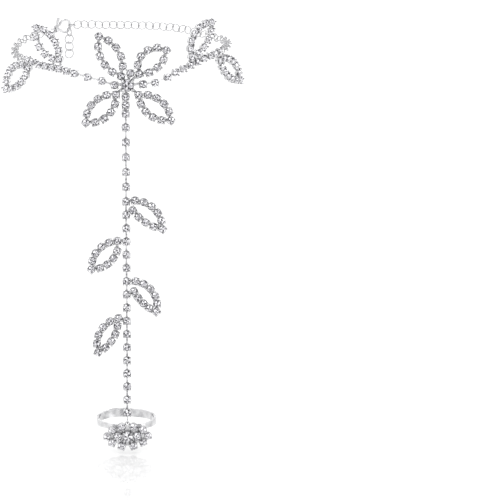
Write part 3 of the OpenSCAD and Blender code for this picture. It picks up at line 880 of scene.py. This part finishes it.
@dataclass
class LinkChain:
    """A chain of round links, each through the next.

    Attributes:
        node: The node of the swept tube whose place the chain takes.
        route: The points that the chain runs through.
        start_gap: How far from the route's start the first link's middle is.
        end_gap: How far from the route's end the last link's middle is.
        ring_r: The radius of a link, to the middle of its wire.
        wire_r: The radius of the wire.
        pitch: The distance from link to link, before it is evened out.
        lean: How far the links turn about the chain, to either side, in degrees.
        facing: The direction that the links face where they don't turn.
        first_lean: The first link's turn in degrees, where it has its own.
        last_lean: The last link's turn in degrees, where it has its own.
        ring_sides: The number of steps round a link.
        wire_sides: The number of steps round its wire.
    """

    node: str
    route: tuple[Spot, ...]
    start_gap: float
    end_gap: float
    ring_r: float = 1.3
    wire_r: float = 0.165
    pitch: float = 2.26
    lean: float = 25.0
    facing: Spot = (0.06, 0.97, -0.22)
    first_lean: float | None = None
    last_lean: float | None = None
    ring_sides: int = 16
    wire_sides: int = 6

    def centres(self) -> tuple[Array, Array]:
        """Spaces the links evenly along the route.

        A link's direction is that of the route from a millimetre before it to one after it.

        Returns:
            The links' centres and the chain's direction at each, one row each.
        """
        path = np.array(self.route, dtype=float)
        legs = np.linalg.norm(np.diff(path, axis=0), axis=1)
        run = np.concatenate([[0.0], np.cumsum(legs)])
        span = run[-1] - self.end_gap - self.start_gap
        count = int(round(span / self.pitch)) + 1
        at = self.start_gap + np.linspace(0.0, span, count)
        around = at + np.array([[-1.0], [0.0], [1.0]])
        spots = np.stack([np.interp(around, run, path[:, k]) for k in range(3)], axis=-1)
        return spots[1], unit(spots[2] - spots[0])

    def leans(self, count: int) -> Array:
        """Each link's turn about the chain, to one side and the other by turns, in radians."""
        turn = np.where(np.arange(count) % 2 == 0, self.lean, -self.lean)
        if self.first_lean is not None:
            turn[0] = self.first_lean
        if self.last_lean is not None:
            turn[-1] = self.last_lean
        return np.radians(turn)

    def rings(self) -> Array:
        """Works out every point of every link.

        A link's axis is the facing direction less its part along the chain, turned about the
        chain by the link's lean. A point is the centre, plus the ring's spoke times the
        ring's radius and the wire's radius times the cosine of the wire's angle, plus the
        ring's own axis times the wire's radius times the sine of that angle.

        Returns:
            Points in metres, by link, ring step, wire step and coordinate.
        """
        centre, along = self.centres()
        facing = unit(self.facing - (along @ self.facing)[:, None] * along)
        turn = self.leans(len(centre))[:, None]
        width = np.cos(turn) * np.cross(facing, along) + np.sin(turn) * facing
        axis = np.cross(along, width)
        u = np.arange(self.ring_sides) * 2 * math.pi / self.ring_sides
        v = np.arange(self.wire_sides) * 2 * math.pi / self.wire_sides
        spoke = (np.cos(u)[None, :, None] * along[:, None]
                 + np.sin(u)[None, :, None] * width[:, None])
        radius = self.ring_r + self.wire_r * np.cos(v)
        lift = self.wire_r * np.sin(v)
        return MM * (centre[:, None, None] + radius[None, None, :, None] * spoke[:, :, None]
                     + lift[None, None, :, None] * axis[:, None, None])

    def faces(self, links: int) -> list[list[int]]:
        """The quads round every link: a ring step on, then a wire step on."""
        i, j = np.meshgrid(np.arange(self.ring_sides), np.arange(self.wire_sides), indexing="ij")
        i_on, j_on = (i + 1) % self.ring_sides, (j + 1) % self.wire_sides
        n = self.wire_sides
        quad = np.stack([i * n + j, i_on * n + j, i_on * n + j_on, i * n + j_on], axis=-1)
        shift = (np.arange(links) * self.ring_sides * n)[:, None, None]
        return (quad.reshape(-1, 4) + shift).reshape(-1, 4).tolist()

    def build(self, material: bpy.types.Material) -> None:
        """Builds and dresses the chain.

        Args:
            material: The chain's silver.
        """
        points = self.rings()
        piece = add_piece(self.node + "_links", points, self.faces(len(points)), smooth=True)
        hand_over(piece, material, self.node)


# Whole groups


@dataclass
class SilverWork:
    """The fixed model's metal, which keeps its shape and gets its plating.

    Attributes:
        cups: The nodes of cups in front.
        sides: The nodes of cups at the ankle's sides, with silver painted lighter for paler light.
        clasp: The clasp's nodes.
        chain: The nodes that match the link chain.
        band: The toe ring.
    """

    cups: tuple[str, ...] = ("flower_frame", "stem_cups",
                             *(f"stem_leaf_{i}" for i in LEAVES))
    sides: tuple[str, ...] = ("strand_cups_left", "strand_cups_right",
                              *(f"ankle_leaf_{i}" for i in LEAVES))
    clasp: tuple[str, ...] = ("clasp_body", "clasp_lever")
    chain: tuple[str, ...] = ("hooked_link",)
    band: tuple[str, ...] = ("toe_ring",)

    def dress(self, nodes: dict, cup_silver: bpy.types.Material, painted_light_side_silver: bpy.types.Material,
              chain_silver: bpy.types.Material) -> None:
        """Gives each metal node its finish.

        Args:
            nodes: The fixed model's objects by name.
            cup_silver: The front cups' silver, which their claws share.
            painted_light_side_silver: The side cups' silver with painted light, which their claws
                share.
            chain_silver: The chain's silver, which the hooked link shares.
        """
        groups = ((self.cups, cup_silver), (self.sides, painted_light_side_silver), (self.chain, chain_silver),
                  (self.clasp, CLASP_SILVER.make()), (self.band, BAND_SILVER.make()))
        for names, material in groups:
            for name in names:
                node = nodes[name]
                if not node.material_slots:
                    node.data.materials.append(material)
                for slot in node.material_slots:
                    slot.material = material
                LOG.info("%s: finished in %s", name, material.name)


@dataclass
class StoneWork:
    """All the cut stones, one field for each node of plain stones.

    Attributes:
        front: The nodes of stones in front.
        sides: The nodes of stones at the ankle's sides.
        claws: The claws of a cup.
        side_slimming: How much slimmer the side cups' claws are.
        front_painted_light: Painted light added to the brightness of the stones in front.
        side_painted_light: More painted light, for the stones at the sides, which stand in paler
            light.
        rosette_painted_light: Painted light added to that of the rosette's stones.
        rosette_cut: The cut of the rosette's stones.
        front_seed: The seed of the first field in front, one more for each next one.
        side_seed: The seed of the first field at the sides, one more for each next one.
        centre_seed: The seed of the flower's centre stone.
        rosette_seed: The seed of the rosette's stones.
    """

    front: tuple[str, ...] = ("flower_stones", "stem_stones",
                              *(f"stem_leaf_stones_{i}" for i in LEAVES))
    sides: tuple[str, ...] = ("strand_stones_left", "strand_stones_right",
                              *(f"ankle_leaf_stones_{i}" for i in LEAVES))
    claws: ClawSet = field(default_factory=ClawSet)
    side_slimming: float = 0.1
    front_painted_light: float = 0.16
    side_painted_light: float = 0.24
    rosette_painted_light: float = 0.32
    rosette_cut: BrilliantCut = field(
        default_factory=lambda: BrilliantCut(swell=0.15, contrast=0.6))
    front_seed: int = 11
    side_seed: int = 31
    centre_seed: int = 41
    rosette_seed: int = 52

    def build(self, nodes: dict, metal: Array, cup_silver: bpy.types.Material,
              painted_light_side_silver: bpy.types.Material) -> None:
        """Builds every field of stones and the claws that hold them.

        Args:
            nodes: The fixed model's objects by name.
            metal: The cups' points in metres.
            cup_silver: The silver of the flower's, the stem's and the ring's cups.
            painted_light_side_silver: The silver with painted light of the cups at the ankle's
                sides.
        """
        crystal = CLEAR_CRYSTAL.make()
        # Each field's lift is painted light added to its facets' brightness.
        fields = [StoneField(name, Slot.CRYSTAL, self.front_seed + i, self.front_painted_light)
                  for i, name in enumerate(self.front)]
        fields += [StoneField(name, Slot.CRYSTAL, self.side_seed + i, self.side_painted_light)
                   for i, name in enumerate(self.sides)]
        fields.append(StoneField("flower_centre_stone", Slot.CENTRE, self.centre_seed))
        fields.append(StoneField("rosette_stones", Slot.ROSETTE, self.rosette_seed,
                                 self.rosette_painted_light, self.rosette_cut))
        for one in fields:
            seats = Seats.read(nodes[one.node])
            one.build(seats, crystal)
            name = one.node.replace("stones", "claws").replace("_stone", "_claws")
            if one.node in self.sides:
                slim = self.claws.slimmer(self.side_slimming)
                slim.build(name, seats, metal, painted_light_side_silver)
            else:
                self.claws.build(name, seats, metal, cup_silver)


@dataclass
class ChainWork:
    """The three runs of link chain."""

    left: LinkChain = field(default_factory=lambda: LinkChain(
        "chain_left",
        ((-29.8, -16.2, -0.8), (-29.9, -14.8, -0.85), (-30.6, -12.8, -1.2), (-31.6, -10.2, -1.7),
         (-32.4, -5.2, -1.9), (-32.8, 0.0, -1.7), (-32.5, 5.2, -1.4), (-31.4, 10.4, -1.0),
         (-29.3, 15.4, -0.6), (-26.0, 20.6, -0.4), (-21.2, 25.6, -0.3), (-20.4, 26.4, -0.2)),
        start_gap=1.12, end_gap=1.1, lean=32.0, last_lean=109.0))
    back: LinkChain = field(default_factory=lambda: LinkChain(
        "chain_back",
        ((-14.59, 30.32, 0.91), (-13.2, 31.0, 0.9), (-9.0, 32.1, 0.75), (-4.5, 32.9, 0.4),
         (0.0, 33.2, 0.3), (5.0, 32.8, 0.2), (10.0, 31.7, 0.2), (15.0, 29.5, 0.2), (19.4, 26.8, 0.1),
         (23.3, 23.3, -0.2), (26.6, 19.3, -0.5), (29.3, 15.0, -0.6), (31.4, 9.6, -0.4),
         (32.5, 4.0, 0.1), (32.6, -2.0, 0.6), (32.0, -7.6, 0.9), (31.2, -12.0, 1.0),
         (30.4, -15.0, 1.1), (29.8, -16.1, 1.1)),
        start_gap=2.1, end_gap=1.12))
    tail: LinkChain = field(default_factory=lambda: LinkChain(
        "chain_tail", ((-15.36, 29.8, 0.25), (-15.38, 29.85, -3.0), (-15.4, 29.9, -9.45)),
        start_gap=1.38, end_gap=1.38, ring_r=1.4, wire_r=0.18, pitch=2.4, first_lean=60.0))

    def build(self, material: bpy.types.Material) -> None:
        """Builds the three runs.

        Args:
            material: The chain's silver.
        """
        for run in (self.left, self.back, self.tail):
            run.build(material)


# Studio


@dataclass
class SoftBox:
    """A large soft lamp.

    Attributes:
        name: The lamp's name.
        spot: Where it hangs.
        width: Its width.
        height: Its height.
        power: Its power in watts.
        aim: The point that it shines at, near the middle of the sandal.
    """

    name: str
    spot: Spot
    width: float
    height: float
    power: float
    aim: Spot = (0.0, 0.0, -0.05)

    def place(self) -> None:
        """Hangs the lamp and turns it to its aim."""
        lamp = bpy.data.lights.new(self.name, "AREA")
        lamp.shape = "RECTANGLE"
        lamp.size, lamp.size_y, lamp.energy = self.width, self.height, self.power
        hang(self.name, lamp, self.spot, self.aim)


@dataclass
class Studio:
    """A pale floor, soft lamps and a white room with darker flags that the silver mirrors.

    Attributes:
        floor_z: The floor's height.
        floor_r: The floor's radius.
        floor_sides: The number of the floor's corners.
        flag_scale: The scale of the noise that makes the flags.
        flag_stops: The noise at which a flag is dark, grey and white, and those tones.
        band: The lowest and the highest slope of the white band round the horizon.
        opening: The direction of the light tent's opening.
        opening_edge: The cosine of the angle from that direction to the opening's edge.
        opening_gain: How fast the opening's grey grows inwards from its edge.
        opening_level: The noise that stands for the opening's own grey.
        mirrored_power: The strength of the room in a mirror.
        room_power: The strength of the room's white light.
        lamps: The soft lamps.
    """

    floor_z: float
    floor_r: float = 9.0
    floor_sides: int = 64
    flag_scale: float = 2.3
    flag_stops: tuple[tuple[float, Colour], ...] = (
        (0.42, (0.04, 0.04, 0.05)), (0.48, (0.4, 0.4, 0.41)), (0.54, (1.0, 1.0, 1.0)))
    band: tuple[float, float] = (-0.05, 0.34)
    opening: Spot = (-0.03, -0.975, 0.22)
    opening_edge: float = 0.86
    opening_gain: float = 12.0
    opening_level: float = 0.497
    mirrored_power: float = 1.35
    room_power: float = 1.15
    lamps: tuple[SoftBox, ...] = (
        SoftBox("key_box", spot=(-1.1, -1.3, 1.5), width=1.2, height=1.2, power=9.0),
        SoftBox("fill_box", spot=(1.5, -0.8, 0.9), width=0.8, height=1.4, power=5.0),
        SoftBox("back_box", spot=(0.3, 1.5, 1.3), width=1.6, height=0.8, power=8.0))

    def build(self) -> None:
        """Lays the floor, hangs the lamps and paints the room."""
        sides = self.floor_sides
        angle = np.arange(sides) * 2 * math.pi / sides
        rim = np.stack([np.cos(angle), np.sin(angle), np.zeros(sides)], axis=1) * self.floor_r
        corners = rim + (0.0, 0.0, self.floor_z)
        floor = add_piece("studio_floor", corners, [list(range(sides))], smooth=False)
        floor.data.materials.append(FloorFinish().make())
        floor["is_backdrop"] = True
        for lamp in self.lamps:
            lamp.place()
        self.paint_room()
        bpy.context.scene.view_settings.view_transform = "Standard"

    def paint_room(self) -> None:
        """Makes the world: white, and with dark flags to mirrors.

        The flags are where cloudy noise over the direction is low, outside a white band
        round the horizon, so that the floor mirrors plain white. In front is the grey
        opening of the light tent: it grows with the direction's dot product with its own.
        """
        world = bpy.data.worlds.new("white_room")
        bpy.context.scene.world = world
        world.use_nodes = True
        bench = Bench(world.node_tree)
        heading = bench.add("ShaderNodeTexCoord").outputs["Generated"]
        sockets = {"Vector": heading, "Scale": self.flag_scale, "Detail": 1.0}
        cloud = bench.reading("ShaderNodeTexNoise", None, sockets, "Fac")
        slope = bench.reading("ShaderNodeSeparateXYZ", None, {0: heading}, "Z")
        band = slope.under(self.band[1]) * (1.0 - slope.under(self.band[0]))
        towards = bench.reading("ShaderNodeVectorMath", {"operation": "DOT_PRODUCT"},
                                {0: heading, 1: self.opening}, "Value")
        open_share = ((towards - self.opening_edge) * self.opening_gain).clamped()
        level = (cloud + band).clamped() * (1.0 - open_share) + open_share * self.opening_level
        flags = bench.add("ShaderNodeValToRGB", {"stops": self.flag_stops}, {"Fac": level})
        glossy = bench.add("ShaderNodeLightPath").outputs["Is Glossy Ray"]
        mirrored = bench.add("ShaderNodeBackground", None,
                             {"Color": flags.outputs["Color"], "Strength": self.mirrored_power})
        white = bench.add("ShaderNodeBackground", None,
                          {"Color": (1.0, 1.0, 1.0, 1.0), "Strength": self.room_power})
        room = bench.add("ShaderNodeMixShader", None,
                         {0: glossy, 1: white.outputs[0], 2: mirrored.outputs[0]})
        bench.add("ShaderNodeOutputWorld", None, {"Surface": room.outputs[0]})


@dataclass
class PhotoCamera:
    """The camera at the photograph's own angle and distance.

    Attributes:
        spot: Where the camera stands.
        aim: The point that it looks at.
        sensor: The width of its sensor in millimetres.
        lens: Its focal length in millimetres.
        clip: The nearest and the farthest that it sees.
    """

    spot: Spot = (-0.0481, -1.4619, 0.2703)
    aim: Spot = (0.03938, -0.00236, -0.06457)
    sensor: float = 36.0
    lens: float = 348.4
    clip: tuple[float, float] = (0.05, 30.0)

    def place(self) -> None:
        """Sets up the camera and makes it the scene's own."""
        eye = bpy.data.cameras.new("photo_camera")
        eye.sensor_width, eye.lens = self.sensor, self.lens
        eye.clip_start, eye.clip_end = self.clip
        bpy.context.scene.camera = hang("photo_camera", eye, self.spot, self.aim)


def main() -> None:
    """Loads the fixed model, sets the camera and the studio under its box, and dresses it."""
    logging.basicConfig(level=logging.INFO, format="%(message)s")
    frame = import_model()
    cad_box = [list(corner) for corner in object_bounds()]
    PhotoCamera().place()
    Studio(floor_z=cad_box[0][2] - FLOOR_GAP * MM).build()
    nodes = frame["nodes"]
    silver = SilverWork()
    # The sides' silver is painted lighter than the cups': painted light.
    cup_silver, painted_light_side_silver, chain_silver = (
        finish.make() for finish in (CUP_SILVER, PAINTED_LIGHT_SIDE_SILVER, CHAIN_SILVER))
    silver.dress(nodes, cup_silver, painted_light_side_silver, chain_silver)
    metal = mesh_points([nodes[name] for name in silver.cups + silver.sides + silver.band])
    StoneWork().build(nodes, metal, cup_silver, painted_light_side_silver)
    ChainWork().build(chain_silver)


if __name__ == "__main__":
    main()
